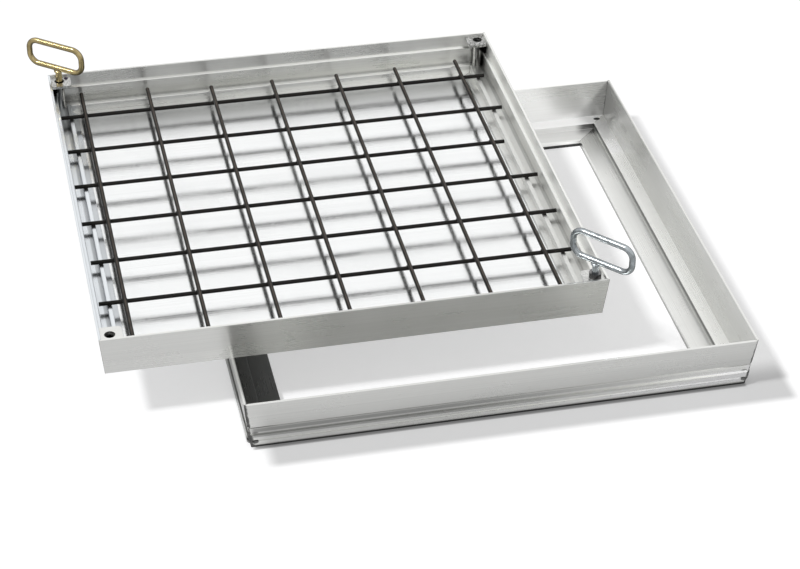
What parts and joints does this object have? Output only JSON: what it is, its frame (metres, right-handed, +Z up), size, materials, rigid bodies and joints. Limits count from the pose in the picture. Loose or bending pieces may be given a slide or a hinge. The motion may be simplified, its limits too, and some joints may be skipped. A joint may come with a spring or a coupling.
{
  "type": "recessed paving cover",
  "caption": "Square recessed paving cover: an aluminium ring frame, its shallow mesh-lined tray lying across the rim, and lifting handles standing in the tray's corner sockets.",
  "frame": {"origin": "on the floor, under the middle of the box round the whole arrangement", "axes": "+X to the picture's right along the frame's front rail, +Y away from the front rail, +Z up"},
  "size_m": [0.9248, 0.8286, 0.207],
  "materials": {
    "mill_aluminium": "mill, brushed along each piece",
    "mesh_steel": "drawn wire, dull",
    "yellow_zinc": "yellow zinc plated",
    "bright_zinc": "bright zinc plated",
    "dark_steel": "dark, greased"
  },
  "bodies": {
    "root": {"frame_rail_front": "mill_aluminium", "frame_rail_right": "mill_aluminium", "frame_rail_back": "mill_aluminium", "frame_rail_left": "mill_aluminium", "tray_rail_front": "mill_aluminium", "tray_rail_right": "mill_aluminium", "tray_rail_back": "mill_aluminium", "tray_rail_left": "mill_aluminium", "tray_plate": "mill_aluminium", "corner_plate_front_left": "mill_aluminium", "corner_plate_front_right": "mill_aluminium", "corner_plate_back_right": "mill_aluminium", "corner_plate_back_left": "mill_aluminium", "lift_bush_front_left": "bright_zinc", "lift_bush_front_right": "bright_zinc", "lift_bush_back_right": "bright_zinc", "lift_bush_back_left": "bright_zinc", "mesh_cross_bar_1": "mesh_steel", "mesh_cross_bar_2": "mesh_steel", "mesh_cross_bar_3": "mesh_steel", "mesh_cross_bar_4": "mesh_steel", "mesh_cross_bar_5": "mesh_steel", "mesh_cross_bar_6": "mesh_steel", "mesh_cross_bar_7": "mesh_steel", "mesh_down_bar_1": "mesh_steel", "mesh_down_bar_2": "mesh_steel", "mesh_down_bar_3": "mesh_steel", "mesh_down_bar_4": "mesh_steel", "mesh_down_bar_5": "mesh_steel", "mesh_down_bar_6": "mesh_steel", "mesh_down_bar_7": "mesh_steel", "handle_loop_gold": "yellow_zinc", "handle_pin_gold": "yellow_zinc", "handle_loop_silver": "bright_zinc", "handle_pin_silver": "bright_zinc", "lock_nut_silver": "dark_steel"}
  },
  "joints": []
}
